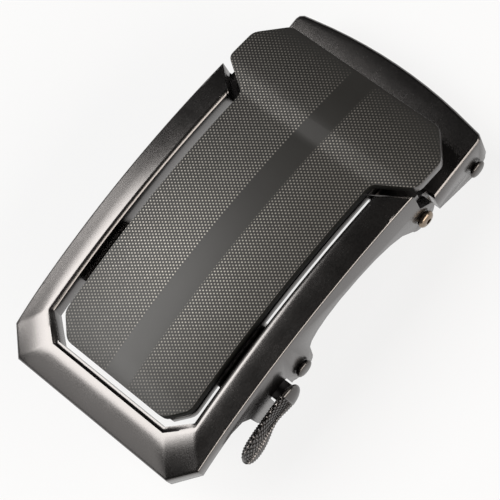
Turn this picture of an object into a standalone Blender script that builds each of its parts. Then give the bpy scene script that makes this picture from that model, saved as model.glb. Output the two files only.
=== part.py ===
"""Ratchet belt buckle: arched frame, panel, sprung pawl with side release lever, and hinged strap clamp.

Lengths are metres. X runs from the closed end of the frame to the strap clamp, Y across the strap,
and Z out of the face. The drawing datum is the closed end on the centre line, level with the crown
of the frame's outer edge; the empty buckle_datum carries the whole drawing to the part's origin.
"""
import math

import bmesh
import bpy
from mathutils import Matrix, Vector

mm = 0.001

# Fits
gap = 0.30 * mm                # space kept between neighbouring pieces
turning_gap = 0.35 * mm        # space beside a piece that turns

# Frame
frame_length = 58.2 * mm       # closed end to the tips of the arms
frame_width = 40.0 * mm
arch_radius = 125.0 * mm       # the face is bowed along X
arch_crown = 32.0 * mm         # where the bow is highest, from the closed end
arm_facet_width = 4.45 * mm
end_facet_width = 6.0 * mm
facet_rise = 0.95 * mm         # ridge above the outer edge
end_droop = 0.75 * mm          # the outer edge falls a little more towards the closed end
droop_length = 13.0 * mm
outer_corner = (4.25 * mm, 3.7 * mm)
inner_corner = (3.6 * mm, 4.0 * mm)
tip_slant = 3.4 * mm           # the arm tips are cut back towards the middle
rim_step = 0.35 * mm
rim_draft = 0.40 * mm
rim_depth = 3.9 * mm           # ridge to the underside of the rim
rim_edge_height = 2.7 * mm     # outer edge height at the closed end
flange_thickness = 2.0 * mm
bridge_thickness = 1.6 * mm
bridge_front = (16.5 * mm, 28.2 * mm)
bridge_back_gap = (3.9 * mm, -1.2 * mm)    # front and back edge, from the tips of the arms

# Panel
panel_thickness = 2.1 * mm
panel_base_thickness = 1.4 * mm
panel_step = 0.15 * mm         # panel face below the ridge
panel_side_gap = 2.05 * mm     # ridge to the panel, either side
panel_end_gap = 1.3 * mm
panel_corner = (3.5 * mm, 3.15 * mm)
panel_waist_gap = 2.5 * mm     # the panel starts to widen this far before the tips of the arms
head_gap = 1.4 * mm            # tips of the arms to the full width of the head
head_length = 10.45 * mm
head_corner = (4.7 * mm, 4.3 * mm)
head_width = frame_width - 0.7 * mm
base_margin = 0.1 * mm         # the base stands this far proud of the panel face
stud_radius = 1.1 * mm
stud_head_radius = 1.7 * mm
stud_head_height = 0.5 * mm

# Pawl, its pin and springs
pawl_pin_x = 27.1 * mm
pawl_pin_z = -11.2 * mm
pin_radius = 1.1 * mm
rivet_head_radius = 1.62 * mm
rivet_head_height = 0.65 * mm
pawl_lobe_radius = 2.7 * mm
pawl_barrel_radius = 2.1 * mm
pawl_barrel_length = 8.8 * mm
pawl_barrel_inset = 8.0 * mm   # side wall to the middle of a barrel
pawl_plate_thickness = 1.5 * mm
pawl_reach = 7.4 * mm          # pin to the biting edge
pawl_rise = 1.9 * mm           # biting edge above the pin
spring_wire_radius = 0.25 * mm
spring_coil_radius = 1.75 * mm
spring_turns = 4.0

# Release lever
notch_x = (20.1 * mm, 24.2 * mm)
notch_top = -8.3 * mm
lever_reach = 1.75 * mm        # side of the frame to the middle of the thumb pad
lever_pad_start = (24.4 * mm, -10.2 * mm)
lever_pad_length = 14.7 * mm
lever_pad_height = (6.2 * mm, 7.6 * mm)
lever_pad_thickness = (2.2 * mm, 2.7 * mm)
lever_pad_drop = 3.0 * mm
lever_waist = 0.55             # how much the pad narrows, and where along it
lever_waist_place = 0.44
lever_tongue_thickness = 0.9 * mm

# Clamp
hinge_x = frame_length - 0.2 * mm
hinge_z = -12.8 * mm
hinge_lobe_radius = 2.85 * mm
hinge_screw_radius = 1.1 * mm
hinge_head_radius = 1.6 * mm
hinge_head_height = 0.85 * mm
hinge_socket_radius = 0.62 * mm
hinge_socket_depth = 0.45 * mm
clamp_width = frame_width - 0.9 * mm
clamp_start = frame_length + 3.4 * mm
clamp_corner_end = frame_length + 16.0 * mm
clamp_bow = 2.2 * mm
clamp_corner_radius = 1.0 * mm
clamp_top = -12.7 * mm
clamp_plate_thickness = 1.0 * mm
clamp_wall_thickness = 1.5 * mm
clamp_edge_radius = 0.7 * mm
ear_thickness = 1.9 * mm
ear_radius = 2.5 * mm

# Jaw
jaw_pin_x = frame_length + 12.5 * mm
jaw_pin_z = -19.55 * mm
jaw_pin_radius = 0.9 * mm
jaw_barrel_radius = 1.7 * mm
jaw_lobe_radius = 2.5 * mm
jaw_reach = 9.0 * mm
jaw_thickness = 1.2 * mm
jaw_opening = 4.9 * mm         # clamp plate to the closed jaw
jaw_tooth_height = 0.7 * mm
jaw_tooth_count = 9

# Derived places
half_width = frame_width / 2
ridge_half = half_width - arm_facet_width
panel_half = ridge_half - panel_side_gap
flange_inner = half_width - flange_thickness
panel_face = facet_rise - panel_step
panel_under = panel_face - panel_thickness
base_face = panel_under - gap
base_under = base_face - panel_base_thickness
bridge_face = base_under - gap
bridge_under = bridge_face - bridge_thickness
bridge_back = (frame_length - bridge_back_gap[0], frame_length - bridge_back_gap[1])
head_start = frame_length + head_gap
head_end = head_start + head_length
clamp_half = clamp_width / 2
clamp_inner = clamp_half - clamp_wall_thickness
clamp_under = clamp_top - clamp_plate_thickness
clamp_end = clamp_corner_end + clamp_bow
ear_outer = flange_inner - turning_gap
ear_inner = ear_outer - ear_thickness
lever_middle_y = -half_width - lever_reach
pawl_plate_top = pawl_rise - 0.5 * mm          # the plate and the tongue are measured from the pin
pawl_plate_under = pawl_plate_top - pawl_plate_thickness
lever_tongue_top = pawl_plate_under - gap
lever_tongue_under = lever_tongue_top - lever_tongue_thickness


def arch(x):
    """How far the bowed face has fallen at x."""
    return (x - arch_crown) ** 2 / (2 * arch_radius)


def outer_edge_z(x):
    """Height of the frame's outer edge: the arch, with a little more droop near the closed end."""
    short = max(0.0, droop_length - x) / droop_length
    return -arch(x) - end_droop * short * short


def material(name, colour, roughness, metallic):
    made = bpy.data.materials.new(name)
    made.use_nodes = True
    shader = made.node_tree.nodes["Principled BSDF"]
    shader.inputs["Base Color"].default_value = (*colour, 1.0)
    shader.inputs["Roughness"].default_value = roughness
    shader.inputs["Metallic"].default_value = metallic
    made.diffuse_color = (*colour, 1.0)
    return made


def add_object(name, bm, finish=None, parent=None, smooth_angle=None):
    """Turn a bmesh into a named object with its faces pointing out."""
    bmesh.ops.remove_doubles(bm, verts=bm.verts, dist=0.001 * mm)
    bmesh.ops.recalc_face_normals(bm, faces=bm.faces)
    mesh = bpy.data.meshes.new(name)
    bm.to_mesh(mesh)
    bm.free()
    if smooth_angle is not None:
        mesh.shade_smooth()
        mesh.set_sharp_from_angle(angle=math.radians(smooth_angle))
    made = bpy.data.objects.new(name, mesh)
    bpy.context.scene.collection.objects.link(made)
    if finish is not None:
        mesh.materials.append(finish)
    if parent is not None:
        made.parent = parent
    return made


def add_cutter(name, bm, parent):
    made = add_object(name, bm, parent=parent)
    made.display_type = "WIRE"
    made.hide_render = True
    return made


def boolean(target, cutter, operation="DIFFERENCE"):
    step = target.modifiers.new(cutter.name, "BOOLEAN")
    step.operation = operation
    step.object = cutter
    step.solver = "EXACT"


def arc(centre, radius, start, end, steps):
    """Points on a circle between two angles in degrees."""
    points = []
    for index in range(steps + 1):
        angle = math.radians(start + (end - start) * index / steps)
        points.append((centre[0] + radius * math.cos(angle), centre[1] + radius * math.sin(angle)))
    return points


def round_corners(points, radius, steps=3):
    """Replace each corner of a closed outline with a short curve that is tangent to both sides."""
    result = []
    count = len(points)
    for index in range(count):
        before = Vector(points[index - 1])
        corner = Vector(points[index])
        after = Vector(points[(index + 1) % count])
        reach = min(radius, (before - corner).length * 0.45, (after - corner).length * 0.45)
        enter = corner + (before - corner).normalized() * reach
        leave = corner + (after - corner).normalized() * reach
        for step in range(steps + 1):
            t = step / steps
            point = enter * (1 - t) ** 2 + corner * 2 * t * (1 - t) + leave * t * t
            result.append((point.x, point.y))
    return result


def plate_from_plan(outline, low, high):
    """Closed plate from an outline in X and Y."""
    bm = bmesh.new()
    face = bm.faces.new([bm.verts.new((x, y, low)) for x, y in outline])
    grown = bmesh.ops.extrude_face_region(bm, geom=[face])
    moved = [item for item in grown["geom"] if isinstance(item, bmesh.types.BMVert)]
    bmesh.ops.translate(bm, verts=moved, vec=(0, 0, high - low))
    return bm


def plate_from_side(outline, low, high):
    """Closed plate from an outline in X and Z, spanning Y."""
    bm = bmesh.new()
    face = bm.faces.new([bm.verts.new((x, low, z)) for x, z in outline])
    grown = bmesh.ops.extrude_face_region(bm, geom=[face])
    moved = [item for item in grown["geom"] if isinstance(item, bmesh.types.BMVert)]
    bmesh.ops.translate(bm, verts=moved, vec=(0, high - low, 0))
    return bm


def bend_to_arch(bm, start, end, spacing=4.0 * mm):
    """Slice a flat plate across X and let it follow the arch."""
    cuts = max(1, round((end - start) / spacing))
    for index in range(1, cuts):
        x = start + (end - start) * index / cuts
        geometry = bm.verts[:] + bm.edges[:] + bm.faces[:]
        bmesh.ops.bisect_plane(bm, geom=geometry, dist=0.0001 * mm, plane_co=(x, 0, 0), plane_no=(1, 0, 0))
    bmesh.ops.triangulate(bm, faces=bm.faces[:])
    for vert in bm.verts:
        vert.co.z -= arch(vert.co.x)
    return bm


def turned_pin(profile, segments=24):
    """Closed solid turned about Y from (y, radius) points that start and end on the axis."""
    bm = bmesh.new()
    rings = []
    for y, radius in profile:
        if radius == 0:
            rings.append([bm.verts.new((0, y, 0))])
            continue
        ring = []
        for index in range(segments):
            angle = 2 * math.pi * index / segments
            ring.append(bm.verts.new((radius * math.cos(angle), y, radius * math.sin(angle))))
        rings.append(ring)
    for first, second in zip(rings, rings[1:]):
        for index in range(segments):
            after = (index + 1) % segments
            corners = [first[index % len(first)], first[after % len(first)],
                       second[after % len(second)], second[index % len(second)]]
            unique = list(dict.fromkeys(corners))
            bm.faces.new(unique)
    return bm


def shift(bm, x=0.0, y=0.0, z=0.0):
    bmesh.ops.translate(bm, verts=bm.verts, vec=(x, y, z))
    return bm


def offset_outline(points, distance):
    """Move an open outline sideways, to its right as it is walked."""
    result = []
    for index, point in enumerate(points):
        normals = []
        for a, b in ((index - 1, index), (index, index + 1)):
            if a < 0 or b >= len(points):
                continue
            along = (Vector(points[b]) - Vector(points[a])).normalized()
            normals.append(Vector((along.y, -along.x)))
        mean = sum(normals, Vector((0, 0))).normalized()
        reach = distance / mean.dot(normals[0])
        result.append((point[0] + mean.x * reach, point[1] + mean.y * reach))
    return result


def mirrored(half):
    """An outline walked from the +Y tip to the closed end, carried on to the -Y tip."""
    return half + [(x, -y) for x, y in reversed(half)]


def with_stations(outline, count):
    """Add evenly spaced points to the first and last stretch of an outline, the two arms."""
    def between(a, b):
        return [(a[0] + (b[0] - a[0]) * i / count, a[1] + (b[1] - a[1]) * i / count) for i in range(count)]
    first = between(outline[0], outline[1])
    last = [point for point in reversed(between(outline[-1], outline[-2]))]
    return first + outline[1:-1] + last


def frame_blank(reach, depth):
    """The frame before its sides are cut: three facets, an inner wall and a deep skirt."""
    arms = 16
    outer = mirrored([(reach, half_width), (outer_corner[0], half_width), (0, half_width - outer_corner[1])])
    ridge_end = end_facet_width
    ridge = mirrored([(reach, ridge_half), (ridge_end + inner_corner[0], ridge_half),
                      (ridge_end, ridge_half - inner_corner[1])])
    skirt = offset_outline(outer, -flange_thickness)
    step = offset_outline(ridge, -rim_step)
    wall = offset_outline(ridge, -rim_draft)
    rings = [with_stations(ring, arms) for ring in (outer, outer, skirt, skirt, wall, step, ridge)]
    under = facet_rise - rim_depth
    heights = [outer_edge_z, lambda x: -depth, lambda x: -depth, lambda x: under - arch(x),
               lambda x: under - arch(x), lambda x: facet_rise - rim_step - arch(x),
               lambda x: facet_rise - arch(x)]
    bm = bmesh.new()
    sections = []
    for station in range(len(rings[0])):
        section = []
        for ring, height in zip(rings, heights):
            x, y = ring[station]
            section.append(bm.verts.new((x, y, height(x))))
        sections.append(section)
    for index in range(len(sections) - 1):
        here = sections[index]
        there = sections[index + 1]
        positive_side = here[0].co.y > 0
        for k in range(len(here)):
            n = (k + 1) % len(here)
            if positive_side:
                bm.faces.new((here[k], there[k], there[n]))
                bm.faces.new((here[k], there[n], here[n]))
            else:
                bm.faces.new((here[k], there[k], here[n]))
                bm.faces.new((here[n], there[k], there[n]))
    bm.faces.new(sections[0])
    bm.faces.new(list(reversed(sections[-1])))
    return bm


def side_waste():
    """Outline in X and Z of everything cut away below and beyond the frame's side walls."""
    edge = []
    for index in range(7):
        x = 12.0 * mm * index / 6
        edge.append((x, outer_edge_z(x) - rim_edge_height))
    guard_x = notch_x[0] - 4.3 * mm
    guard_bottom = pawl_pin_z - 1.0 * mm
    edge += [(guard_x - 1.4 * mm, edge[-1][1] - 0.7 * mm), (guard_x - 0.2 * mm, edge[-1][1] - 2.8 * mm)]
    edge += arc((guard_x + 1.0 * mm, guard_bottom + 1.0 * mm), 1.0 * mm, 180, 270, 3)
    edge += arc((pawl_pin_x, pawl_pin_z), pawl_lobe_radius, 205, 345, 8)
    top = edge[-1][0]
    span = hinge_x - top
    for along, fall in ((0.02, 8.1), (0.05, 7.0), (0.11, 6.1), (0.20, 5.5), (0.32, 5.4), (0.48, 6.0),
                        (0.62, 7.0), (0.74, 8.5), (0.83, 10.3)):
        edge.append((top + span * along, -fall * mm))
    edge += arc((hinge_x, hinge_z), hinge_lobe_radius, 190, 395, 14)
    edge += [(frame_length + 0.5 * mm, hinge_z + 3.4 * mm), (frame_length, hinge_z + 4.2 * mm)]
    edge.append((frame_length, 8 * mm))
    beyond = hinge_x + 12 * mm
    edge += [(beyond, 8 * mm), (beyond, -40 * mm), (-2 * mm, -40 * mm), (-2 * mm, edge[0][1])]
    return edge


def cylinder_y(x, z, radius, start, end, segments=24):
    bm = turned_pin([(start, 0), (start, radius), (end, radius), (end, 0)], segments)
    return shift(bm, x=x, z=z)


def build_frame(finish, datum):
    depth = 30 * mm
    reach = hinge_x + hinge_lobe_radius + 2 * mm
    frame = add_object("frame", frame_blank(reach, depth), finish, datum)
    sides = half_width + 2 * mm
    boolean(frame, add_cutter("cut_frame_sides", plate_from_side(side_waste(), -sides, sides), datum))
    for side in (1, -1):
        slope = tip_slant / arm_facet_width
        outside = half_width + 1 * mm
        inside = ridge_half - 2.5 * mm
        tip = [(frame_length + slope * (outside - half_width), side * outside),
               (frame_length + slope * (inside - half_width), side * inside),
               (reach + 2 * mm, side * inside), (reach + 2 * mm, side * outside)]
        bm = plate_from_plan(tip, hinge_z + 5.6 * mm, 6 * mm)
        boolean(frame, add_cutter(f"cut_frame_tip_{side:+d}", bm, datum))
        bm = cylinder_y(hinge_x, hinge_z, hinge_screw_radius + gap, side * (flange_inner - 1 * mm), side * sides)
        boolean(frame, add_cutter(f"cut_hinge_bore_{side:+d}", bm, datum))
    bm = cylinder_y(pawl_pin_x, pawl_pin_z, pin_radius + gap, -sides, sides)
    boolean(frame, add_cutter("cut_pawl_bore", bm, datum))
    notch = [(notch_x[0], notch_top - 0.6 * mm), (notch_x[0] + 0.6 * mm, notch_top),
             (notch_x[1] - 0.6 * mm, notch_top), (notch_x[1], notch_top - 0.6 * mm),
             (notch_x[1], -40 * mm), (notch_x[0], -40 * mm)]
    bm = plate_from_side(notch, -sides, -flange_inner + 1 * mm)
    boolean(frame, add_cutter("cut_lever_notch", bm, datum))
    for label, (start, end) in (("front", bridge_front), ("back", bridge_back)):
        reach_y = flange_inner + flange_thickness / 2
        outline = [(start, -reach_y), (end, -reach_y), (end, reach_y), (start, reach_y)]
        bm = bend_to_arch(plate_from_plan(outline, bridge_under, bridge_face), start, end)
        boolean(frame, add_cutter(f"add_bridge_{label}", bm, datum), "UNION")
    for index, (x, y) in enumerate(screw_places()):
        bm = cylinder_z(x, y, stud_radius + gap, bridge_under - 4 * mm, bridge_face + 0.15 * mm)
        boolean(frame, add_cutter(f"cut_bridge_bore_{index + 1}", bm, datum))
    return frame


def screw_places():
    """Where the panel's four screws go up through the bridges."""
    places = []
    for start, end in (bridge_front, bridge_back):
        for side in (1, -1):
            places.append(((start + end) / 2, side * panel_half * 0.66))
    return places


def cylinder_z(x, y, radius, low, high, segments=20):
    bm = turned_pin([(low, 0), (low, radius), (high, radius), (high, 0)], segments)
    bmesh.ops.rotate(bm, verts=bm.verts, cent=(0, 0, 0), matrix=Matrix.Rotation(math.radians(90), 3, "X"))
    return shift(bm, x=x, y=y)


def panel_outline(inset=0.0, head=True):
    """Plan of the panel: chamfered closed end, narrow waist between the arms, wide head past them."""
    start = end_facet_width + panel_end_gap + inset
    half = panel_half - inset
    corner_x, corner_y = panel_corner
    side = [(start, half - corner_y), (start + corner_x, half)]
    if head:
        wide = head_width / 2
        side += [(frame_length - panel_waist_gap, half), (head_start, wide), (head_end - head_corner[0], wide),
                 (head_end, wide - head_corner[1])]
    else:
        side += [(bridge_back[1], half)]
    return side + [(x, -y) for x, y in reversed(side)]


def build_panel(face_finish, base_finish, datum):
    outline = round_corners(panel_outline(), 0.9 * mm)
    start = min(x for x, y in outline)
    bm = bend_to_arch(plate_from_plan(outline, panel_under, panel_face), start, head_end)
    add_object("face_panel", bm, face_finish, datum)
    outline = round_corners(panel_outline(-base_margin, head=False), 0.9 * mm)
    start = min(x for x, y in outline)
    bm = bend_to_arch(plate_from_plan(outline, base_under, base_face), start, bridge_back[1])
    base = add_object("panel_base", bm, base_finish, datum)
    for index, (x, y) in enumerate(screw_places()):
        low = base_under - arch(x)
        tip = low + panel_base_thickness * 0.45
        bm = cylinder_z(x, y, stud_radius + gap, low - 1 * mm, tip + gap)
        boolean(base, add_cutter(f"cut_base_bore_{index + 1}", bm, datum))
        seat = bridge_under - arch(x) - gap - 0.05 * mm
        bm = turned_pin([(0, 0), (0, stud_radius), (seat - tip, stud_radius), (seat - tip, stud_head_radius),
                         (seat - tip - stud_head_height * 0.6, stud_head_radius),
                         (seat - tip - stud_head_height, stud_head_radius * 0.75),
                         (seat - tip - stud_head_height, 0)], 16)
        bmesh.ops.rotate(bm, verts=bm.verts, cent=(0, 0, 0), matrix=Matrix.Rotation(math.radians(90), 3, "X"))
        screw = add_object(f"panel_screw_{index + 1}", bm, base_finish, datum, 40)
        screw.location = (x, y, tip)


def rivet_profile(half_span, shank, head_radius, head_height):
    """Turned profile of a pin with a low round head on both ends."""
    y = half_span
    side = [(y, shank), (y, head_radius), (y + head_height * 0.55, head_radius),
            (y + head_height * 0.9, head_radius * 0.86), (y + head_height, head_radius * 0.6)]
    profile = [(-y - head_height, 0)]
    profile += [(-a, r) for a, r in reversed(side)]
    profile += side
    profile.append((y + head_height, 0))
    return profile


def build_pawl(steel, dark, datum, pawl_axis):
    """The pawl rocks on its pin; everything on it hangs from the empty pawl_axis."""
    bm = turned_pin(rivet_profile(half_width + gap, pin_radius, rivet_head_radius, rivet_head_height))
    pin = add_object("pawl_pin", bm, dark, datum, 40)
    pin.location = (pawl_pin_x, 0, pawl_pin_z)

    reach = -pawl_reach
    rise = pawl_rise
    thick = pawl_plate_thickness
    back = -2.4 * mm
    side = flange_inner - 1.0 * mm
    plate = [(reach, rise), (reach + 1.0 * mm, pawl_plate_top), (back, pawl_plate_top),
             (back, pawl_plate_under), (reach + 1.2 * mm, pawl_plate_under), (reach - 0.1 * mm, rise - thick)]
    pawl = add_object("pawl", plate_from_side(plate, -side, side), steel, pawl_axis)
    for label, centre in (("left", flange_inner - pawl_barrel_inset), ("right", pawl_barrel_inset - flange_inner)):
        barrel = pawl_barrel_radius
        web = [(-4.4 * mm, rise - 0.9 * mm)]
        web += arc((0, 0), barrel, 75, -210, 16)
        web.append((-4.4 * mm, pawl_plate_under + 0.3 * mm))
        bm = plate_from_side(web, centre - pawl_barrel_length / 2, centre + pawl_barrel_length / 2)
        boolean(pawl, add_cutter(f"add_pawl_barrel_{label}", bm, pawl_axis), "UNION")
    bm = cylinder_y(0, 0, pin_radius + turning_gap, -side - 1 * mm, side + 1 * mm)
    boolean(pawl, add_cutter("cut_pawl_barrels", bm, pawl_axis))
    return pawl


def box(low, high):
    bm = bmesh.new()
    bmesh.ops.create_cube(bm, size=1.0)
    for vert in bm.verts:
        for k in range(3):
            vert.co[k] = low[k] if vert.co[k] < 0 else high[k]
    return bm


def thumb_pad(length, height, thickness, drop, waist, waist_place, stations=15, sides=16):
    """Rounded bar along -X from the origin, waisted from below; height and thickness are (start, end) pairs."""
    bm = bmesh.new()
    rings = [[bm.verts.new((0, 0, 0))]]
    for index in range(1, stations):
        s = (1 - math.cos(math.pi * index / stations)) / 2
        end = math.sqrt(1 - abs(2 * s - 1) ** 5)
        narrowing = 1 - waist * math.exp(-((s - waist_place) / 0.20) ** 2)
        deep = (thickness[0] * (1 - s) + thickness[1] * s) * end / 2
        tall = (height[0] * (1 - s) + height[1] * s) * end / 2
        ring = []
        for side in range(sides):
            angle = 2 * math.pi * side / sides
            z = tall * math.sin(angle)
            if z < 0:
                z *= narrowing
            ring.append(bm.verts.new((-length * s, deep * math.cos(angle), z - drop * s ** 1.5)))
        rings.append(ring)
    rings.append([bm.verts.new((-length, 0, -drop))])
    for first, second in zip(rings, rings[1:]):
        for index in range(sides):
            after = (index + 1) % sides
            corners = [first[index % len(first)], first[after % len(first)],
                       second[after % len(second)], second[index % len(second)]]
            bm.faces.new(list(dict.fromkeys(corners)))
    return bm


def build_lever(cast, steel, datum, pawl_axis):
    """Release lever: a tongue under the pawl, a neck through the frame's notch and a thumb pad outside."""
    x_low = notch_x[0] + turning_gap - pawl_pin_x
    x_high = notch_x[1] - turning_gap - pawl_pin_x
    inner = -flange_inner + 5.4 * mm
    pad_z = lever_pad_start[1] - pawl_pin_z
    pad = thumb_pad(lever_pad_length, lever_pad_height, lever_pad_thickness, lever_pad_drop,
                    lever_waist, lever_waist_place)
    shift(pad, x=lever_pad_start[0] - pawl_pin_x, y=lever_middle_y, z=pad_z)
    lever = add_object("release_lever", pad, cast, pawl_axis)
    neck = box((x_low, lever_middle_y + 0.4 * mm, lever_tongue_under + 0.5 * mm),
               (x_high - 0.2 * mm, -flange_inner + 0.6 * mm, pad_z + 0.8 * mm))
    boolean(lever, add_cutter("add_lever_neck", neck, pawl_axis), "UNION")
    tongue = box((x_low, -flange_inner + turning_gap, lever_tongue_under), (x_high, inner, lever_tongue_top))
    boolean(lever, add_cutter("add_lever_tongue", tongue, pawl_axis), "UNION")

    middle = (x_low + x_high) / 2
    shank = 0.6 * mm
    head = 0.95 * mm
    for index, y in enumerate((inner - 1.3 * mm, inner - 4.1 * mm)):
        bore = cylinder_z(middle, y, shank + gap, lever_tongue_under - 1 * mm, pawl_plate_top + 1 * mm, 16)
        cutter = add_cutter(f"cut_lever_bore_{index + 1}", bore, pawl_axis)
        boolean(lever, cutter)
        boolean(bpy.data.objects["pawl"], cutter)
        low = lever_tongue_under - gap
        high = pawl_plate_top + gap
        bm = turned_pin([(low - 0.35 * mm, 0), (low - 0.35 * mm, head * 0.8), (low, head), (low, shank),
                         (high, shank), (high, head), (high + 0.3 * mm, head * 0.8), (high + 0.3 * mm, 0)], 16)
        bmesh.ops.rotate(bm, verts=bm.verts, cent=(0, 0, 0), matrix=Matrix.Rotation(math.radians(90), 3, "X"))
        add_object(f"lever_rivet_{index + 1}", shift(bm, x=middle, y=y), steel, pawl_axis, 40)
    return lever


def build_springs(spring_finish, datum):
    """A torsion spring either side: one leg bears under the front bridge, the other lifts the pawl."""
    pitch = 2 * spring_wire_radius + 0.08 * mm
    per_turn = 12
    count = int(per_turn * (spring_turns + 0.25))
    for label, side, under in (("left", 1, pawl_plate_under), ("right", -1, lever_tongue_under)):
        outer = flange_inner - gap - spring_wire_radius
        anchor_x = bridge_front[1] - 0.6 * mm
        anchor_z = bridge_under - arch(anchor_x) - gap - 0.1 * mm
        points = [(anchor_x, outer, anchor_z),
                  (pawl_pin_x + spring_coil_radius - 0.15 * mm, outer, pawl_pin_z + 1.5 * mm)]
        for index in range(count + 1):
            turn = index / per_turn
            angle = -2 * math.pi * turn
            points.append((pawl_pin_x + spring_coil_radius * math.cos(angle), outer - pitch * turn,
                           pawl_pin_z + spring_coil_radius * math.sin(angle)))
        inner = points[-1][1]
        leg_z = pawl_pin_z + under - gap - spring_wire_radius
        points.append((pawl_pin_x - 1.2 * mm, inner, (leg_z + points[-1][2]) / 2))
        points.append((pawl_pin_x - 3.9 * mm, inner, leg_z))
        curve = bpy.data.curves.new(f"pawl_spring_{label}", "CURVE")
        curve.dimensions = "3D"
        curve.bevel_depth = spring_wire_radius
        curve.bevel_resolution = 1
        curve.use_fill_caps = True
        spline = curve.splines.new("POLY")
        spline.points.add(len(points) - 1)
        for slot, (x, y, z) in zip(spline.points, points):
            slot.co = (x, side * y, z, 1.0)
        curve.materials.append(spring_finish)
        spring = bpy.data.objects.new(f"pawl_spring_{label}", curve)
        bpy.context.scene.collection.objects.link(spring)
        spring.parent = datum


def clamp_plan():
    """Plan of the clamp: straight sides and a gently bowed outer end."""
    bow_radius = (clamp_half ** 2 + clamp_bow ** 2) / (2 * clamp_bow)
    centre = clamp_end - bow_radius
    points = [(clamp_start, clamp_half)]
    rise = 6
    bowed = []
    for index in range(-rise, rise + 1):
        y = -clamp_half * index / rise
        bowed.append((centre + math.sqrt(bow_radius ** 2 - y ** 2), y))
    corner = clamp_corner_radius
    first = bowed[0]
    last = bowed[-1]
    points += [(first[0] - corner, clamp_half), (first[0] - corner * 0.25, clamp_half - corner * 0.25)]
    points += [(bowed[1][0] - (bowed[1][0] - first[0]) * 0.6, clamp_half - corner)]
    points += bowed[1:-1]
    points += [(bowed[-2][0] - (bowed[-2][0] - last[0]) * 0.6, -clamp_half + corner)]
    points += [(last[0] - corner * 0.25, -clamp_half + corner * 0.25), (last[0] - corner, -clamp_half)]
    points.append((clamp_start, -clamp_half))
    return points


def clamp_side_waste():
    """Outline in X and Z of what is cut from below the clamp's side walls."""
    edge = [(clamp_start - 2 * mm, clamp_under - 3.8 * mm)]
    edge += arc((jaw_pin_x, jaw_pin_z), jaw_lobe_radius, 252, 315, 6)
    edge += [(clamp_corner_end + 0.1 * mm, jaw_pin_z + 0.2 * mm), (clamp_corner_end + 0.5 * mm, jaw_pin_z + 2.5 * mm)]
    beyond = clamp_end + 3 * mm
    edge += [(beyond, jaw_pin_z + 3.2 * mm), (beyond, -40 * mm), (clamp_start - 2 * mm, -40 * mm)]
    return edge


def build_clamp(finish, clamp_axis):
    """Inverted channel that covers the cut end of the strap, with two ears that reach back to the hinge."""
    depth = 30 * mm
    bm = plate_from_plan([(x - hinge_x, y) for x, y in clamp_plan()], -depth - hinge_z, clamp_top - hinge_z)
    top = [edge for edge in bm.edges if all(abs(v.co.z - (clamp_top - hinge_z)) < 0.01 * mm for v in edge.verts)]
    bmesh.ops.bevel(bm, geom=top, offset=clamp_edge_radius, segments=3, profile=0.5, affect="EDGES")
    clamp = add_object("clamp_body", bm, finish, clamp_axis)
    channel = box((-20 * mm, -clamp_inner, -40 * mm), (40 * mm, clamp_inner, clamp_under - hinge_z))
    boolean(clamp, add_cutter("cut_clamp_channel", channel, clamp_axis))
    sides = clamp_half + 2 * mm
    waste = [(x - hinge_x, z - hinge_z) for x, z in clamp_side_waste()]
    boolean(clamp, add_cutter("cut_clamp_sides", plate_from_side(waste, -sides, sides), clamp_axis))
    front = clamp_start - hinge_x
    root_z = clamp_top - 0.5 * mm - hinge_z
    for label, side in (("left", 1), ("right", -1)):
        ear = arc((0, 0), ear_radius, 50, 275, 14)
        ear += [(front + 4.5 * mm, -ear_radius - 0.2 * mm), (front + 4.5 * mm, root_z), (front + 0.3 * mm, root_z)]
        low, high = sorted((side * ear_inner, side * ear_outer))
        bm = plate_from_side(ear, low, high)
        boolean(clamp, add_cutter(f"add_clamp_ear_{label}", bm, clamp_axis), "UNION")
    bm = cylinder_y(0, 0, hinge_screw_radius + turning_gap, -sides, sides)
    boolean(clamp, add_cutter("cut_ear_bores", bm, clamp_axis))
    bm = cylinder_y(jaw_pin_x - hinge_x, jaw_pin_z - hinge_z, jaw_pin_radius + gap, -sides, sides)
    boolean(clamp, add_cutter("cut_jaw_pin_bores", bm, clamp_axis))
    return clamp


def build_hinge_screws(brass, datum):
    for label, side in (("left", 1), ("right", -1)):
        base = half_width + gap
        profile = [(ear_inner - gap, 0), (ear_inner - gap, hinge_screw_radius * 0.8),
                   (ear_inner - gap + 0.25 * mm, hinge_screw_radius), (base, hinge_screw_radius),
                   (base, hinge_head_radius), (base + hinge_head_height * 0.35, hinge_head_radius),
                   (base + hinge_head_height * 0.8, hinge_head_radius * 0.78),
                   (base + hinge_head_height, hinge_socket_radius), (base + hinge_head_height, 0)]
        bm = turned_pin([(side * y, radius) for y, radius in profile])
        screw = add_object(f"hinge_screw_{label}", bm, brass, datum, 40)
        screw.location = (hinge_x, 0, hinge_z)
        top = base + hinge_head_height
        low, high = sorted((side * (top - hinge_socket_depth), side * (top + 1 * mm)))
        bm = cylinder_y(0, 0, hinge_socket_radius * 0.92, low, high, 6)
        socket = add_cutter(f"cut_hinge_socket_{label}", bm, datum)
        socket.location = screw.location
        boolean(screw, socket)


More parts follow.
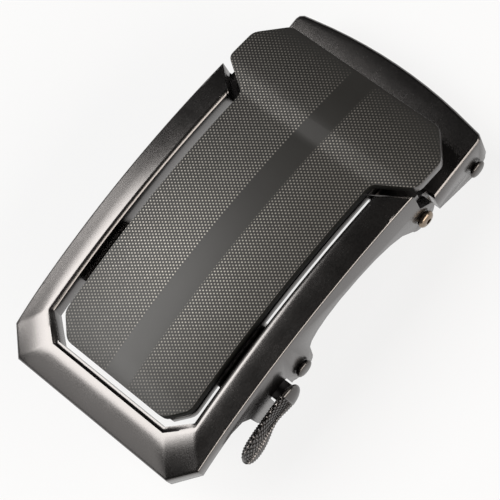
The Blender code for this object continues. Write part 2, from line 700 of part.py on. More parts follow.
def build_jaw(steel, dark, clamp_axis, jaw_axis):
    """Toothed flap that closes on the strap from behind, and the riveted pin it turns on."""
    half = clamp_inner - turning_gap
    plate_top = clamp_under - jaw_opening - jaw_pin_z
    plate_under = plate_top - jaw_thickness
    start = -jaw_reach
    outline = [(start, plate_top), (-1.2 * mm, plate_top)]
    outline += arc((0, 0), jaw_barrel_radius, 110, -90, 12)
    outline += [(-1.9 * mm, plate_under), (start + 0.6 * mm, plate_under), (start, plate_under + 0.4 * mm)]
    jaw = add_object("jaw", plate_from_side(outline, -half, half), steel, jaw_axis)
    pitch = 2 * half / jaw_tooth_count
    comb = [(-half + 0.2 * mm, plate_top - 0.4 * mm)]
    for index in range(jaw_tooth_count):
        left = -half + pitch * index
        comb += [(left + 0.25 * mm, plate_top - 0.2 * mm), (left + pitch / 2, plate_top + jaw_tooth_height),
                 (left + pitch - 0.25 * mm, plate_top - 0.2 * mm)]
    comb.append((half - 0.2 * mm, plate_top - 0.4 * mm))
    bm = bmesh.new()
    face = bm.faces.new([bm.verts.new((start + 1.4 * mm, y, z)) for y, z in comb])
    grown = bmesh.ops.extrude_face_region(bm, geom=[face])
    moved = [item for item in grown["geom"] if isinstance(item, bmesh.types.BMVert)]
    bmesh.ops.translate(bm, verts=moved, vec=(1.1 * mm, 0, 0))
    boolean(jaw, add_cutter("add_jaw_teeth", bm, jaw_axis), "UNION")
    bm = cylinder_y(0, 0, jaw_pin_radius + turning_gap, -half - 1 * mm, half + 1 * mm)
    boolean(jaw, add_cutter("cut_jaw_barrel", bm, jaw_axis))
    bm = turned_pin(rivet_profile(clamp_half + gap, jaw_pin_radius, rivet_head_radius, rivet_head_height))
    pin = add_object("jaw_pin", bm, dark, clamp_axis, 40)
    pin.location = (jaw_pin_x - hinge_x, 0, jaw_pin_z - hinge_z)
    return jaw


def add_empty(name, place, parent=None):
    empty = bpy.data.objects.new(name, None)
    empty.empty_display_size = 5 * mm
    bpy.context.scene.collection.objects.link(empty)
    empty.location = place
    empty.parent = parent
    return empty


def set_on_origin(datum):
    """Move the datum so that the origin is under the middle of the part, on the surface it lies on."""
    bpy.context.view_layer.update()
    graph = bpy.context.evaluated_depsgraph_get()
    corners = []
    for item in bpy.context.scene.objects:
        if item.type not in {"MESH", "CURVE"} or item.hide_render:
            continue
        seen = item.evaluated_get(graph)
        mesh = seen.to_mesh()
        corners += [seen.matrix_world @ vert.co for vert in mesh.vertices]
        seen.to_mesh_clear()
    low = [min(corner[k] for corner in corners) for k in range(3)]
    high = [max(corner[k] for corner in corners) for k in range(3)]
    datum.location = (-(low[0] + high[0]) / 2, -(low[1] + high[1]) / 2, -low[2])
    bpy.context.view_layer.update()


def main():
    for item in list(bpy.data.objects):
        bpy.data.objects.remove(item, do_unlink=True)
    gunmetal = material("gunmetal", (0.115, 0.105, 0.105), 0.38, 0.9)
    panel_black = material("panel_black", (0.045, 0.045, 0.048), 0.45, 0.8)
    dark_steel = material("dark_steel", (0.09, 0.085, 0.08), 0.35, 1.0)
    plain_steel = material("plain_steel", (0.42, 0.41, 0.40), 0.32, 1.0)
    spring_steel = material("spring_steel", (0.35, 0.34, 0.33), 0.28, 1.0)
    aged_brass = material("aged_brass", (0.30, 0.225, 0.15), 0.35, 1.0)

    datum = add_empty("buckle_datum", (0, 0, 0))
    pawl_axis = add_empty("pawl_axis", (pawl_pin_x, 0, pawl_pin_z), datum)
    clamp_axis = add_empty("clamp_axis", (hinge_x, 0, hinge_z), datum)
    jaw_axis = add_empty("jaw_axis", (jaw_pin_x - hinge_x, 0, jaw_pin_z - hinge_z), clamp_axis)

    build_frame(gunmetal, datum)
    build_panel(panel_black, gunmetal, datum)
    build_pawl(plain_steel, dark_steel, datum, pawl_axis)
    build_lever(gunmetal, dark_steel, datum, pawl_axis)
    build_springs(spring_steel, datum)
    build_clamp(gunmetal, clamp_axis)
    build_hinge_screws(aged_brass, datum)
    build_jaw(plain_steel, dark_steel, clamp_axis, jaw_axis)
    set_on_origin(datum)


main()
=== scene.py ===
import math

import bpy
from mathutils import Matrix, Vector


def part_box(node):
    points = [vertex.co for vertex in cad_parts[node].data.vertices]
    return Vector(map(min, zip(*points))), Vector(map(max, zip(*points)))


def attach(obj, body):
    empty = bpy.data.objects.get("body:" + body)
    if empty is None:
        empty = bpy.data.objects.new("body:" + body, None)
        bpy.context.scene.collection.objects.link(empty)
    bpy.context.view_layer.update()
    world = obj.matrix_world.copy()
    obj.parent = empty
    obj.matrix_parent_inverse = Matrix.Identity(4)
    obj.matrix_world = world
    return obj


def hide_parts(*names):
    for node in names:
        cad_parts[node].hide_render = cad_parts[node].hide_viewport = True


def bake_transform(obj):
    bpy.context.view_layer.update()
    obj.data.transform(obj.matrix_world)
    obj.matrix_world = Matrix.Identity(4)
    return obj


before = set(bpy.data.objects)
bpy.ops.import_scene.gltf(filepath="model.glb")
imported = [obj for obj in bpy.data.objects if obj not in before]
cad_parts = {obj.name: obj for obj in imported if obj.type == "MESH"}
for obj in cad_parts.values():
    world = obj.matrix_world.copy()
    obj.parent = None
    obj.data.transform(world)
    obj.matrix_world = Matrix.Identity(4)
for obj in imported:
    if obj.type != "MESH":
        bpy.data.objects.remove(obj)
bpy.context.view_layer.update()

mm = 0.001
# drawing zero: closed end of the frame, middle of its width, crown of its outer edge
pinLow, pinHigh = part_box("pawl_pin")
drawingZero = (pinLow + pinHigh) / 2 - Vector((27.1, 0, -11.2)) * mm
archRadius = 125.0
archCrown = 32.0


def at(x, y, z):
    return drawingZero + Vector((x, y, z)) * mm


def onDrawing(point):
    return (point - drawingZero) / mm


def archFall(x):
    return (x - archCrown) ** 2 / (2 * archRadius)


def smoothStep(low, high, value):
    t = min(1.0, max(0.0, (value - low) / (high - low)))
    return t * t * (3 - 2 * t)


# ---- shader helpers
class Socket:
    def __init__(self, tree, link):
        self.tree = tree
        self.link = link

    def maths(self, operation, other=None, clamp=False):
        node = self.tree.nodes.new("ShaderNodeMath")
        node.operation = operation
        node.use_clamp = clamp
        for slot, value in enumerate((self, other)):
            if isinstance(value, Socket):
                self.tree.links.new(value.link, node.inputs[slot])
            elif value is not None:
                node.inputs[slot].default_value = value
        return Socket(self.tree, node.outputs[0])

    def reflected(self, operation, other):
        node = self.tree.nodes.new("ShaderNodeMath")
        node.operation = operation
        node.inputs[0].default_value = other
        self.tree.links.new(self.link, node.inputs[1])
        return Socket(self.tree, node.outputs[0])

    def __add__(self, other):
        return self.maths("ADD", other)

    def __radd__(self, other):
        return self.maths("ADD", other)

    def __sub__(self, other):
        return self.maths("SUBTRACT", other)

    def __rsub__(self, other):
        return self.reflected("SUBTRACT", other)

    def __mul__(self, other):
        return self.maths("MULTIPLY", other)

    def __rmul__(self, other):
        return self.maths("MULTIPLY", other)

    def __truediv__(self, other):
        return self.maths("DIVIDE", other)


class Finish:
    def __init__(self, name):
        self.material = bpy.data.materials.new(name)
        self.material.use_nodes = True
        self.tree = self.material.node_tree
        self.shader = self.tree.nodes["Principled BSDF"]

    def node(self, kind, settings=None, values=None, output=0):
        made = self.tree.nodes.new(kind)
        for key, value in (settings or {}).items():
            if key == "stops":
                self.setStops(made.color_ramp, value)
            else:
                setattr(made, key, value)
        for key, value in (values or {}).items():
            if isinstance(value, Socket):
                self.tree.links.new(value.link, made.inputs[key])
            else:
                made.inputs[key].default_value = value
        return Socket(self.tree, made.outputs[output])

    def setStops(self, ramp, stops):
        while len(ramp.elements) < len(stops):
            ramp.elements.new(0.5)
        for element, (place, colour) in zip(ramp.elements, stops):
            element.position = place
            element.color = (*colour, 1.0)

    def drawing(self):
        # object coordinates turned into millimetres on the drawing
        return self.node("ShaderNodeMapping", values={
            "Vector": self.node("ShaderNodeTexCoord", output=3),
            "Location": tuple(-drawingZero / mm), "Scale": (1 / mm, 1 / mm, 1 / mm)})

    def axes(self, vector):
        made = self.tree.nodes.new("ShaderNodeSeparateXYZ")
        self.tree.links.new(vector.link, made.inputs[0])
        return [Socket(self.tree, out) for out in made.outputs]

    def noise(self, vector, scale, detail=3.0, roughness=0.55):
        return self.node("ShaderNodeTexNoise", values={
            "Vector": vector, "Scale": scale, "Detail": detail, "Roughness": roughness})

    def mix(self, factor, first, second):
        return self.node("ShaderNodeMix", {"data_type": "RGBA"},
                         {0: factor, 6: first, 7: second}, output=2)

    def tinted(self, colour, amount):
        # colour times an amount that varies over the surface
        return self.node("ShaderNodeMix", {"data_type": "RGBA", "blend_type": "MULTIPLY"},
                         {0: 1.0, 6: (*colour, 1.0), 7: self.grey(amount)}, output=2)

    def grey(self, amount):
        return self.node("ShaderNodeCombineColor", values={0: amount, 1: amount, 2: amount})

    def bump(self, height, strength, distance):
        return self.node("ShaderNodeBump", values={
            "Height": height, "Strength": strength, "Distance": distance})

    def feed(self, socket, value):
        if isinstance(value, Socket):
            self.tree.links.new(value.link, self.shader.inputs[socket])
        else:
            self.shader.inputs[socket].default_value = value


casting = {
    "colour": (0.146, 0.1395, 0.137),
    "roughness": 0.25,
    "grain": 3.6,              # blasted grain, features per millimetre
    "grainDepth": 0.0035 * mm,
}


def castingFinish(name, darker=1.0, rougher=0.0):
    made = Finish(name)
    place = made.drawing()
    grain = made.noise(place, casting["grain"], 2.0)
    cloud = made.noise(place, 0.22, 2.0)
    shade = (0.86 + grain * 0.16 + cloud * 0.12) * darker
    made.feed("Base Color", made.tinted(casting["colour"], shade))
    made.feed("Metallic", 1.0)
    base = casting["roughness"] + rougher
    made.feed("Roughness", base + (grain - 0.5) * 0.10 + (cloud - 0.5) * 0.06)
    made.feed("Normal", made.bump(grain, 0.3, casting["grainDepth"]))
    return made.material


def knurledFinish(name):
    # as the casting, with painted shade in the grooves and painted highlights on the tips, both found
    # from the mesh's pointiness
    made = Finish(name)
    place = made.drawing()
    grain = made.noise(place, casting["grain"], 2.0)
    point = made.node("ShaderNodeNewGeometry", output=7)
    # pointiness marks the knurl's tips, which are painted bright as a highlight and made smoother; the
    # grooves are painted dark as shade
    paintedHighlightTips = ((point - 0.44) * 9.0).maths("MULTIPLY", 1.0, clamp=True)
    shade = (0.10 + paintedHighlightTips * 1.15) * (0.85 + grain * 0.3)
    made.feed("Base Color", made.tinted(casting["colour"], shade))
    made.feed("Metallic", 1.0)
    made.feed("Roughness", 0.42 - paintedHighlightTips * 0.2)
    made.feed("Normal", made.bump(grain, 0.3, casting["grainDepth"]))
    return made.material


panelLook = {
    "colour": (0.0165, 0.0160, 0.0150, 1.0),
    "dotColour": (0.310, 0.295, 0.270, 1.0),
    "roughness": 0.42,
    "pitch": (0.62, 0.87),       # along and across, with one more dot in each cell's middle
    "dotRadius": 0.125,
    "stripe": (-2.6, 1.95),
}


def panelFinish(name):
    made = Finish(name)
    place = made.drawing()
    x, y, z = made.axes(place)
    pitchX, pitchY = panelLook["pitch"]
    distances = []
    for offset in (0.0, 0.5):
        across = ((x / pitchX + offset).maths("FRACT") - 0.5) * pitchX
        along = ((y / pitchY + offset).maths("FRACT") - 0.5) * pitchY
        distances.append((across * across + along * along).maths("SQRT"))
    nearest = distances[0].maths("MINIMUM", distances[1])
    radius = panelLook["dotRadius"]
    dots = ((radius + 0.035 - nearest) / 0.07).maths("MULTIPLY", 1.0, clamp=True)
    low, high = panelLook["stripe"]
    dotted = ((low - y) / 0.12).maths("MAXIMUM", (y - high) / 0.12).maths("MULTIPLY", 1.0, clamp=True)
    up = made.axes(made.node("ShaderNodeNewGeometry", output=1))[2]
    top = ((up - 0.9) * 30).maths("MULTIPLY", 1.0, clamp=True)
    fade = made.node("ShaderNodeValToRGB", {"stops": [
        (0.08, (0.10,) * 3), (0.20, (0.45,) * 3), (0.40, (1.0,) * 3), (0.74, (1.0,) * 3),
        (0.86, (0.55,) * 3), (0.97, (0.15,) * 3)]}, {"Fac": x / 72.0})
    fadeAmount = made.axes(fade)[0]
    mask = dots * dotted * top
    grain = made.noise(place, 5.0, 2.0)
    haze = made.noise(place, 0.12, 2.0)
    base = made.tinted(panelLook["colour"][:3], 0.85 + haze * 0.3 - dotted * 0.22)
    uneven = made.noise(place, 1.7, 1.0)
    shown = mask * (0.12 + 0.88 * fadeAmount) * (0.35 + uneven * 1.3)
    made.feed("Base Color", made.mix(shown, base, panelLook["dotColour"]))
    made.feed("Metallic", shown)
    made.feed("Specular IOR Level", 0.44)
    made.feed("Roughness", panelLook["roughness"] + dotted * 0.06 + (grain - 0.5) * 0.10)
    made.feed("Normal", made.bump(grain * 0.25 - mask * 0.5, 0.35, 0.02 * mm))
    return made.material


def panelRimFinish(name):
    # unpolished black flank of the panel
    made = Finish(name)
    grain = made.noise(made.drawing(), 4.0, 3.0)
    made.feed("Base Color", made.tinted((0.010, 0.010, 0.009), 0.7 + grain * 0.6))
    made.feed("Roughness", 0.62 + grain * 0.2)
    made.feed("Specular IOR Level", 0.12)
    made.feed("Normal", made.bump(grain, 0.4, 0.02 * mm))
    return made.material


steels = {
    "dark": ((0.115, 0.108, 0.104), 0.30),
    "plated": ((0.40, 0.39, 0.375), 0.30),
    "spring": ((0.36, 0.35, 0.34), 0.24),
    "brass": ((0.27, 0.215, 0.165), 0.30),
}


def steelFinish(name, colour, roughness, stretch=(0.15, 3.0, 3.0)):
    made = Finish(name)
    place = made.drawing()
    brushed = made.noise(made.node("ShaderNodeVectorMath", {"operation": "MULTIPLY"},
                                   {0: place, 1: stretch}), 2.2, 3.0)
    cloud = made.noise(place, 0.5, 2.0)
    made.feed("Base Color", made.tinted(colour, 0.82 + brushed * 0.2 + cloud * 0.16))
    made.feed("Metallic", 1.0)
    made.feed("Roughness", roughness + (brushed - 0.5) * 0.2)
    made.feed("Normal", made.bump(brushed, 0.3, 0.01 * mm))
    return made.material


print("finishes")
gunmetal = castingFinish("gunmetal_casting")
gunmetalBack = castingFinish("gunmetal_back", 0.9, 0.06)
leverFinish = knurledFinish("lever_knurling")
panelBlack = panelFinish("panel_black")
panelRim = panelRimFinish("panel_rim")
darkSteel = steelFinish("dark_rivet_steel", *steels["dark"])
plainSteel = steelFinish("plated_steel", *steels["plated"])
springWire = steelFinish("spring_wire", *steels["spring"])
agedBrass = steelFinish("aged_brass", *steels["brass"])


# ---- modelling helpers
def activate(piece):
    bpy.ops.object.select_all(action="DESELECT")
    piece.select_set(True)
    bpy.context.view_layer.objects.active = piece


def editAll(piece):
    activate(piece)
    bpy.ops.object.mode_set(mode="EDIT")
    bpy.ops.mesh.select_all(action="SELECT")


def leaveEdit():
    bpy.ops.object.mode_set(mode="OBJECT")


def chooseFaces(piece, wanted):
    # ends in edit mode with face selection on, and only the wanted faces selected
    editAll(piece)
    bpy.ops.mesh.select_mode(type="FACE")
    bpy.ops.mesh.select_all(action="DESELECT")
    leaveEdit()
    for polygon in piece.data.polygons:
        polygon.select = wanted(polygon)
    bpy.ops.object.mode_set(mode="EDIT")


def bevelEdges(piece, width, segments=2, angle=28.0):
    activate(piece)
    step = piece.modifiers.new("edges", "BEVEL")
    step.width = width * mm
    step.segments = segments
    step.limit_method = "ANGLE"
    step.angle_limit = math.radians(angle)
    bpy.ops.object.modifier_apply(modifier=step.name)


def smooth(piece, angle=35.0):
    activate(piece)
    bpy.ops.object.shade_smooth_by_angle(angle=math.radians(angle))


def copyOfNode(node, name):
    # a merged copy of the solid, without its triangulation
    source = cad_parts[node]
    piece = bpy.data.objects.new(name, source.data.copy())
    bpy.context.scene.collection.objects.link(piece)
    piece.data.materials.clear()
    editAll(piece)
    bpy.ops.mesh.remove_doubles(threshold=0.002 * mm)
    bpy.ops.mesh.dissolve_limited(angle_limit=math.radians(1.0))
    leaveEdit()
    return piece


def dress(piece, finish, body, slotName, *nodes):
    piece.data.materials.clear()
    piece.data.materials.append(finish)
    if body:
        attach(piece, body)
    if nodes:
        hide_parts(*nodes)
    return piece


def turned(name, profile, place, axis="Y", steps=40):
    # solid of revolution from (along, radius) points in millimetres, ends on the axis
    mesh = bpy.data.meshes.new(name)
    points = [(radius * mm, 0.0, along * mm) for along, radius in profile]
    mesh.from_pydata(points, [(i, i + 1) for i in range(len(points) - 1)], [])
    piece = bpy.data.objects.new(name, mesh)
    bpy.context.scene.collection.objects.link(piece)
    editAll(piece)
    bpy.ops.mesh.spin(steps=steps, angle=2 * math.pi, center=(0, 0, 0), axis=(0, 0, 1))
    bpy.ops.mesh.select_all(action="SELECT")
    bpy.ops.mesh.remove_doubles(threshold=0.001 * mm)
    bpy.ops.mesh.normals_make_consistent(inside=False)
    leaveEdit()
    turn = Matrix.Rotation(math.radians(-90), 4, "X") if axis == "Y" else Matrix.Identity(4)
    mesh.transform(Matrix.Translation(place) @ turn)
    return piece


def cutWith(piece, cutter):
    activate(piece)
    step = piece.modifiers.new("cut", "BOOLEAN")
    step.operation = "DIFFERENCE"
    step.solver = "EXACT"
    step.object = cutter
    bpy.ops.object.modifier_apply(modifier=step.name)
    bpy.data.objects.remove(cutter, do_unlink=True)


# ---- frame
frameLook = {
    "length": 62.85,                             # where the arms' facets are drawn to
    "outerCorner": ((4.25, 20.0), (0.0, 16.3)),  # ends of the slanted corner, outside and on the ridge
    "ridgeCorner": ((9.6, 15.55), (6.0, 11.55)),
    "rise": 0.95, "lift": 0.15, "endLift": 0.40,  # ridge above the outer edge, and that edge's lift
    "endDroop": 0.75, "droopLength": 13.0,
    # steepness of the facets on the way from outer edge to ridge
    "armSlope": ((0.0, 1.0), (0.45, 1.0), (0.80, 0.66), (0.9167, 0.25), (0.95, 0.0), (1.0, -1.5)),
    "endSlope": ((0.0, 1.3), (0.30, 1.0), (0.65, 0.72), (0.88, 0.35), (0.9167, 0.0), (0.93, -1.6),
                 (1.0, -1.6)),
    "edge": 0.30, "cuts": 11,
}


def outerEdge(x):
    short = max(0.0, frameLook["droopLength"] - x) / frameLook["droopLength"]
    return -archFall(x) - frameLook["endDroop"] * short * short


def ridgeLine(x):
    return frameLook["rise"] - archFall(x)


def climbed(knots, t):
    # area under the slope up to t
    total = 0.0
    for (start, first), (end, last) in zip(knots, knots[1:]):
        reach = min(t, end) - start
        if reach <= 0:
            break
        total += reach * (2 * first + (last - first) * reach / (end - start)) / 2
    return total


def crownTable(knots):
    heights = [climbed(knots, step / 100) for step in range(101)]
    return [height / max(heights) for height in heights]


def crown(table, t):
    place = min(99, int(t * 100))
    return table[place] + (table[place + 1] - table[place]) * (t * 100 - place)


def crossing(x, y):
    # share of the way from outer edge to ridge, height of both, and how far round the corner
    (ax, ay), (cx, cy) = frameLook["outerCorner"]
    (bx, by), (dx, dy) = frameLook["ridgeCorner"]
    t = (ay - y) / (ay - by)
    start = ax + (bx - ax) * t
    if x >= start:
        reach = frameLook["length"] - start
        share = (x - start) / reach
        outerX = ax + (frameLook["length"] - ax) * share
        ridgeX = bx + (frameLook["length"] - bx) * share
        return t, outerEdge(outerX), ridgeLine(ridgeX), 0.0
    t = (x - cx) / (dx - cx)
    if y <= cy + (dy - cy) * t:
        return t, outerEdge(cx), ridgeLine(dx), 1.0
    t = s = 0.5
    for _ in range(12):
        missX = ax + (cx - ax) * s + t * ((bx - ax) + (dx - bx - cx + ax) * s) - x
        missY = ay + (cy - ay) * s + t * ((by - ay) + (dy - by - cy + ay) * s) - y
        alongX = (cx - ax) + t * (dx - bx - cx + ax)
        alongY = (cy - ay) + t * (dy - by - cy + ay)
        overX = (bx - ax) + s * (dx - bx - cx + ax)
        overY = (by - ay) + s * (dy - by - cy + ay)
        size = alongX * overY - overX * alongY
        s -= (missX * overY - overX * missY) / size
        t -= (alongX * missY - missX * alongY) / size
    edge = outerEdge(ax) * (1 - s) + outerEdge(cx) * s
    ridge = ridgeLine(bx) * (1 - s) + ridgeLine(dx) * s
    return t, edge, ridge, s


armCrown = crownTable(frameLook["armSlope"])
endCrown = crownTable(frameLook["endSlope"])


def facetHeight(x, y):
    t, edge, ridge, corner = crossing(x, abs(y))
    t = min(1.0, max(0.0, t))
    low = edge + frameLook["lift"] * (1 - corner) + frameLook["endLift"] * corner
    share = crown(armCrown, t) * (1 - corner) + crown(endCrown, t) * corner
    return low + (ridge - low) * share


def isFacet(polygon):
    spot = onDrawing(polygon.center)
    t, edge, ridge, corner = crossing(spot.x, abs(spot.y))
    near = abs(edge + (ridge - edge) * t - spot.z) < 0.3
    return near and polygon.normal.z > 0.75 and 0 < t < 1


def buildFrame():
    piece = copyOfNode("frame", "frame_casting")
    chooseFaces(piece, isFacet)
    bpy.ops.mesh.quads_convert_to_tris()
    bpy.ops.mesh.subdivide(number_cuts=frameLook["cuts"])
    leaveEdit()
    facets = {polygon.index for polygon in piece.data.polygons if polygon.select}
    raised = {index for facet in facets for index in piece.data.polygons[facet].vertices}
    for index in raised:
        vertex = piece.data.vertices[index]
        spot = onDrawing(vertex.co)
        vertex.co.z = at(0, 0, facetHeight(spot.x, spot.y)).z
    # the facets' own borders are rounded first, at their full width
    chooseFaces(piece, lambda polygon: polygon.index in facets)
    bpy.ops.mesh.region_to_loop()
    bpy.ops.mesh.bevel(offset=frameLook["edge"] * mm, segments=3, affect="EDGES", clamp_overlap=False)
    leaveEdit()
    bevelEdges(piece, frameLook["edge"], 3)
    smooth(piece, 40)
    return dress(piece, gunmetal, "root", "gunmetal", "frame")


print("frame")
buildFrame()

# ---- panel and what holds it
panelEdges = {"face": 0.16, "base": 0.20, "headStart": 58.5, "tuck": 0.6}


def buildPanel():
    face = copyOfNode("face_panel", "panel_face")
    bevelEdges(face, panelEdges["face"], 2, 40)
    smooth(face, 40)
    dress(face, panelBlack, "root", "panel_black", "face_panel")
    face.data.materials.append(panelRim)
    face.data.materials.append(gunmetalBack)
    for polygon in face.data.polygons:
        onHead = onDrawing(polygon.center).x > panelEdges["headStart"]
        onFlank = polygon.normal.z < 0.85
        polygon.material_index = (2 if onHead else 1) if onFlank else 0
    base = copyOfNode("panel_base", "panel_backing")
    # its closed end is moved under the face, out of the gap
    low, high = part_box("panel_base")
    tuck = panelEdges["tuck"]
    for vertex in base.data.vertices:
        if vertex.co.x < low.x + 0.4 * mm:
            slope = (archCrown - onDrawing(vertex.co).x) / archRadius
            vertex.co += Vector((tuck, 0, tuck * slope)) * mm
    bevelEdges(base, panelEdges["base"], 2, 40)
    smooth(base, 40)
    dress(base, gunmetalBack, "root", "gunmetal", "panel_base")


def centreOf(node):
    low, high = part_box(node)
    return (low + high) / 2, low, high


def hexCutter(place, radius, depth, axis):
    bpy.ops.object.select_all(action="DESELECT")
    turn = (math.radians(90), 0, 0) if axis == "Y" else (0, 0, 0)
    bpy.ops.mesh.primitive_cylinder_add(vertices=6, radius=radius * mm, depth=depth * mm,
                                        location=place, rotation=turn)
    cutter = bpy.context.object
    bpy.ops.object.transform_apply(location=True, rotation=True, scale=True)
    return cutter


def buildPanelScrews():
    for index in range(1, 5):
        node = f"panel_screw_{index}"
        centre, low, high = centreOf(node)
        length = (high.z - low.z) / mm
        profile = [(0, 0), (0, 1.15), (0.18, 1.52), (0.42, 1.68), (0.5, 1.68), (0.5, 1.08),
                   (length - 0.15, 1.08), (length, 0.95), (length, 0)]
        screw = turned(node + "_turned", profile, Vector((centre.x, centre.y, low.z)), "Z")
        cutWith(screw, hexCutter(Vector((centre.x, centre.y, low.z)), 0.68, 0.7, "Z"))
        smooth(screw, 35)
        dress(screw, darkSteel, "root", "gunmetal", node)


print("panel")
buildPanel()
buildPanelScrews()

# ---- pins and screws
pinLook = {"shank": 1.08, "head": 1.6, "headHeight": 0.65}


def rivetEnd(seat, shank):
    head = pinLook["head"]
    rise = pinLook["headHeight"]
    return [(seat, shank), (seat, head - 0.12), (seat + 0.1, head), (seat + rise * 0.42, head),
            (seat + rise * 0.66, head * 0.94), (seat + rise * 0.84, head * 0.80),
            (seat + rise * 0.95, head * 0.55), (seat + rise, head * 0.25), (seat + rise, 0)]


def buildPin(node, name, shank, body):
    centre, low, high = centreOf(node)
    reach = (high.y - low.y) / mm / 2
    end = rivetEnd(reach - pinLook["headHeight"], shank)
    profile = [(-along, radius) for along, radius in reversed(end)] + end
    pin = turned(name, profile, centre)
    smooth(pin, 40)
    return dress(pin, darkSteel, body, "dark_steel", node)


hingeLook = {"shank": 1.08, "head": 1.58, "headHeight": 0.85, "socket": 0.60, "socketDepth": 0.5}


def buildHingeScrew(side):
    node = f"hinge_screw_{side}"
    centre, low, high = centreOf(node)
    outward = 1 if side == "left" else -1
    length = (high.y - low.y) / mm
    seat = length - hingeLook["headHeight"]
    head = hingeLook["head"]
    shank = hingeLook["shank"]
    profile = [(0, 0), (0, shank * 0.8), (0.25, shank), (seat, shank),
               (seat, head - 0.08), (seat + 0.08, head), (seat + 0.30, head),
               (seat + 0.52, head * 0.93), (seat + 0.70, head * 0.80),
               (length - 0.04, head * 0.62), (length, head * 0.5), (length, 0)]
    inner = low.y if outward > 0 else high.y
    profile = [(along * outward, radius) for along, radius in profile]
    screw = turned(node + "_turned", profile, Vector((centre.x, inner, centre.z)))
    tip = Vector((centre.x, inner + outward * length * mm, centre.z))
    cutWith(screw, hexCutter(tip, hingeLook["socket"], 2 * hingeLook["socketDepth"], "Y"))
    smooth(screw, 35)
    dress(screw, agedBrass, "root", "aged_brass", node)


print("pins and screws")
buildPin("pawl_pin", "pawl_rivet", 1.08, "root")
buildPin("jaw_pin", "jaw_rivet", 0.88, "clamp")
for side in ("left", "right"):
    buildHingeScrew(side)

# ---- clamp and jaw
clampEdges = {"body": 0.22, "jaw": 0.12}


def buildClamp():
    body = copyOfNode("clamp_body", "clamp_casting")
    bevelEdges(body, clampEdges["body"], 3)
    smooth(body, 40)
    dress(body, gunmetal, "clamp", "gunmetal", "clamp_body")
    jaw = copyOfNode("jaw", "jaw_plate")
    bevelEdges(jaw, clampEdges["jaw"], 2)
    smooth(jaw, 40)
    dress(jaw, plainSteel, "jaw", "plain_steel", "jaw")


print("clamp")
buildClamp()

# ---- pawl, lever and springs
padLook = {
    "start": (24.4, -10.2), "length": 14.9, "height": (6.2, 7.6), "thickness": (2.2, 2.7), "drop": 3.0,
    "waist": 0.55, "sideWaist": 0.42, "waistPlace": 0.44, "middle": -21.75,
    "alongCuts": 250, "aroundCuts": 256,
    "knurlStart": 21.6, "knurlPitch": 0.93, "knurlRound": 16, "knurlDepth": 0.38,
}


def triangleWave(value):
    return 1 - abs((value % 1.0) * 2 - 1)


def padRing(s, turn):
    # sideways and upward reach of the smooth pad
    end = math.sqrt(max(0.0, 1 - abs(2 * s - 1) ** 5))
    dip = math.exp(-((s - padLook["waistPlace"]) / 0.20) ** 2)
    deep = (padLook["thickness"][0] * (1 - s) + padLook["thickness"][1] * s) * end / 2
    tall = (padLook["height"][0] * (1 - s) + padLook["height"][1] * s) * end / 2
    outY = math.cos(turn) * (1 - padLook["sideWaist"] * dip if math.cos(turn) < 0 else 1.0)
    outZ = math.sin(turn) * (1 - padLook["waist"] * dip if math.sin(turn) < 0 else 1.0)
    return deep * outY, tall * outZ


def padRow(s, count):
    # one ring of the pad, knurled past the smooth lobe
    ring = [padRing(s, 2 * math.pi * step / count) for step in range(count + 1)]
    walked = [0.0]
    for (y1, z1), (y2, z2) in zip(ring, ring[1:]):
        walked.append(walked[-1] + math.hypot(y2 - y1, z2 - z1))
    length = padLook["length"]
    x = padLook["start"][0] - length * s
    lengthwise = length * s / padLook["knurlPitch"]
    begins = padLook["knurlStart"]
    row = []
    for (y, z), arc in zip(ring, walked):
        size = math.hypot(y, z)
        share = arc / walked[-1] * padLook["knurlRound"] if walked[-1] else 0.0
        peak = min(triangleWave(lengthwise + share), triangleWave(lengthwise - share))
        fadeIn = smoothStep(begins, begins - 0.3, x)
        cut = padLook["knurlDepth"] * (1 - peak) * fadeIn * smoothStep(0.3, 0.8, size)
        keep = 1 - cut / size if size else 1.0
        row.append((x, padLook["middle"] + y * keep,
                    padLook["start"][1] + z * keep - padLook["drop"] * s ** 1.5))
    return row


def buildPad():
    bpy.ops.object.select_all(action="DESELECT")
    along = padLook["alongCuts"]
    around = padLook["aroundCuts"]
    bpy.ops.mesh.primitive_grid_add(x_subdivisions=along, y_subdivisions=around, size=2)
    piece = bpy.context.object
    piece.name = "lever_pad"
    rows = {}
    for vertex in piece.data.vertices:
        share = (vertex.co.x + 1) / 2
        place = round(share * along)
        if place not in rows:
            rows[place] = padRow(share * 0.6 + (1 - math.cos(math.pi * share)) / 2 * 0.4, around)
        vertex.co = at(*rows[place][round((vertex.co.y + 1) / 2 * around)])
    editAll(piece)
    bpy.ops.mesh.remove_doubles(threshold=0.002 * mm)
    bpy.ops.mesh.normals_make_consistent(inside=False)
    leaveEdit()
    smooth(piece, 28)
    return dress(piece, leverFinish, "pawl", "gunmetal", "release_lever")


armLook = {
    "x": (20.45, 23.85), "reach": (-21.35, -12.6), "crank": -17.5,
    "tongue": (-12.5, -11.6), "neckTop": -9.4,
}


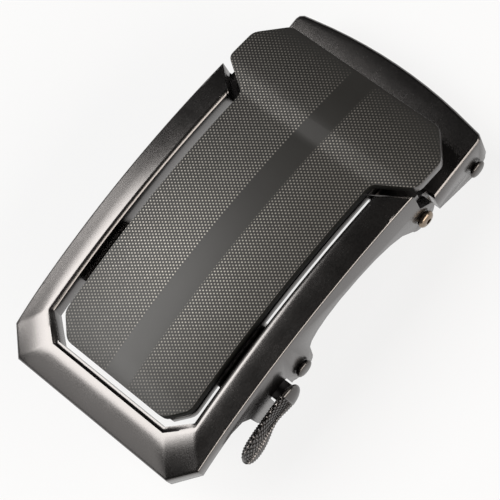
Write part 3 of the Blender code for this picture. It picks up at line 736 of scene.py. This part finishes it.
def buildArm():
    # cranked arm: a flat tongue under the pawl and a taller neck through the side of the frame
    bpy.ops.object.select_all(action="DESELECT")
    lowX, highX = armLook["x"]
    bpy.ops.mesh.primitive_cube_add(size=1)
    piece = bpy.context.object
    piece.name = "lever_arm"
    under, top = armLook["tongue"]
    for vertex in piece.data.vertices:
        x = lowX if vertex.co.x < 0 else highX
        y = armLook["crank"] if vertex.co.y < 0 else armLook["reach"][1]
        z = under if vertex.co.z < 0 else top
        vertex.co = at(x, y, z)
    chooseFaces(piece, lambda polygon: polygon.normal.y < -0.9)
    outward = (armLook["reach"][0] - armLook["crank"]) * mm
    bpy.ops.mesh.extrude_region_move(TRANSFORM_OT_translate={"value": (0, outward, 0)})
    leaveEdit()
    for vertex in piece.data.vertices:
        spot = onDrawing(vertex.co)
        if spot.y < -20 and spot.z > -12:
            vertex.co.z = at(0, 0, armLook["neckTop"]).z
    bevelEdges(piece, pawlEdges["arm"], 2)
    smooth(piece, 35)
    return dress(piece, gunmetalBack, "pawl", "gunmetal")


pawlEdges = {"pawl": 0.14, "rivet": 0.08, "arm": 0.15}


def buildPawl():
    pawl = copyOfNode("pawl", "pawl_plate")
    bevelEdges(pawl, pawlEdges["pawl"], 2)
    smooth(pawl, 40)
    dress(pawl, plainSteel, "pawl", "plain_steel", "pawl")
    for index in (1, 2):
        node = f"lever_rivet_{index}"
        rivet = copyOfNode(node, node + "_turned")
        bevelEdges(rivet, pawlEdges["rivet"], 2, 30)
        smooth(rivet, 40)
        dress(rivet, darkSteel, "pawl", "dark_steel", node)


def buildSprings():
    for side in ("left", "right"):
        node = f"pawl_spring_{side}"
        spring = copyOfNode(node, node + "_wire")
        smooth(spring, 60)
        dress(spring, springWire, None, "spring_steel", node)
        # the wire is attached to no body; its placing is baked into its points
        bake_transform(spring)


print("pawl and lever")
buildPad()
buildArm()
buildPawl()
buildSprings()

# ---- floor, light and camera
studio = {
    "floorShade": 0.12, "floorGlow": 0.80, "world": 0.015, "distance": 1.0,
    "boxes": {
        "back_box": {"aim": (-0.30, 0.48, 0.825), "size": (0.86, 0.66), "strength": 6.7,
                     "colour": (1.0, 0.985, 0.965)},
        "low_back_box": {"aim": (-0.32, 0.82, 0.47), "size": (0.90, 0.26), "strength": 1.1,
                         "colour": (1.0, 0.985, 0.965)},
        "end_box": {"aim": (-0.86, 0.32, 0.40), "size": (0.44, 0.40), "strength": 0.95,
                    "colour": (1.0, 0.985, 0.965)},
        "front_box": {"aim": (0.05, -0.85, 0.52), "size": (1.60, 0.52), "strength": 5.3,
                      "colour": (1.0, 0.93, 0.86)},
        "side_box": {"aim": (0.68, -0.45, 0.58), "size": (0.40, 0.34), "strength": 2.0,
                     "colour": (1.0, 0.95, 0.90)},
    },
    "camera": {"place": (15.04, -109.57, 268.64), "turn": (16.6823, 13.9717, -50.2732), "lens": 133.58},
}


def buildFloor():
    bpy.ops.object.select_all(action="DESELECT")
    bpy.ops.mesh.primitive_plane_add(size=6, location=(0, 0, 0))
    floor = bpy.context.object
    floor.name = "floor"
    made = Finish("pale_floor")
    made.feed("Base Color", (studio["floorShade"],) * 3 + (1.0,))
    made.feed("Roughness", 0.9)
    made.feed("Specular IOR Level", 0.0)
    made.feed("Emission Color", (1.0, 1.0, 1.0, 1.0))
    made.feed("Emission Strength", studio["floorGlow"])
    floor.data.materials.append(made.material)


def addBox(name, look):
    # soft box facing the middle of the scene, its width kept level with X
    width, height = look["size"]
    light = bpy.data.lights.new(name, "AREA")
    light.shape = "RECTANGLE"
    light.size = width
    light.size_y = height
    light.energy = look["strength"] * math.pi * width * height
    light.color = look["colour"]
    made = bpy.data.objects.new(name, light)
    bpy.context.scene.collection.objects.link(made)
    aim = Vector(look["aim"]).normalized()
    across = (Vector((1, 0, 0)) - aim * aim.x).normalized()
    made.location = aim * studio["distance"]
    made.rotation_euler = Matrix((across, aim.cross(across), aim)).transposed().to_euler()


def buildCamera():
    look = studio["camera"]
    camera = bpy.data.cameras.new("camera")
    camera.lens = look["lens"]
    camera.sensor_width = 36
    camera.clip_start = 0.01
    made = bpy.data.objects.new("camera", camera)
    bpy.context.scene.collection.objects.link(made)
    made.location = at(*look["place"])
    made.rotation_euler = [math.radians(angle) for angle in look["turn"]]
    bpy.context.scene.camera = made


print("studio")
buildFloor()
for name, look in studio["boxes"].items():
    addBox(name, look)
world = bpy.data.worlds.new("studio")
world.use_nodes = True
world.node_tree.nodes["Background"].inputs[0].default_value = (1.0, 1.0, 1.0, 1.0)
world.node_tree.nodes["Background"].inputs[1].default_value = studio["world"]
bpy.context.scene.world = world
bpy.context.scene.view_settings.view_transform = "Standard"
buildCamera()
